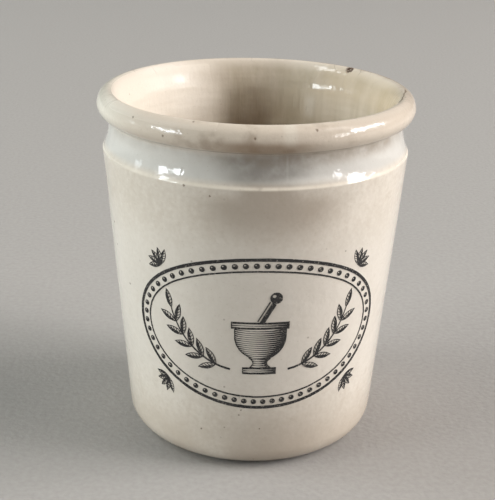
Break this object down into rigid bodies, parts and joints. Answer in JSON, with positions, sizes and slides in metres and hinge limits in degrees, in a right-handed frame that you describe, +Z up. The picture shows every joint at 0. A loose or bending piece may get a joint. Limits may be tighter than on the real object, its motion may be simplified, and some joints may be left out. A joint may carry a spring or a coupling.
{
  "type": "ointment pot",
  "caption": "Round glazed earthenware ointment pot with a bead rim, a hollow neck for tying on a cover, a tapering wall, a foot ring and a black printed label.",
  "frame": {"origin": "on the pot's axis, at the table that the foot ring stands on", "axes": "+Z up along the pot's axis, -Y towards the front with the label, +X to the label's right"},
  "size_m": [0.08, 0.08, 0.091],
  "materials": {
    "biscuit": "fired clay, bare and matt",
    "cream_glaze": "glossy cream glaze with fine specks",
    "label_ink": "fired black print, slightly glossy"
  },
  "bodies": {
    "root": {"pot_body": "biscuit", "wall_glaze": "cream_glaze", "base_glaze": "cream_glaze", "printed_label": "label_ink"}
  },
  "joints": []
}
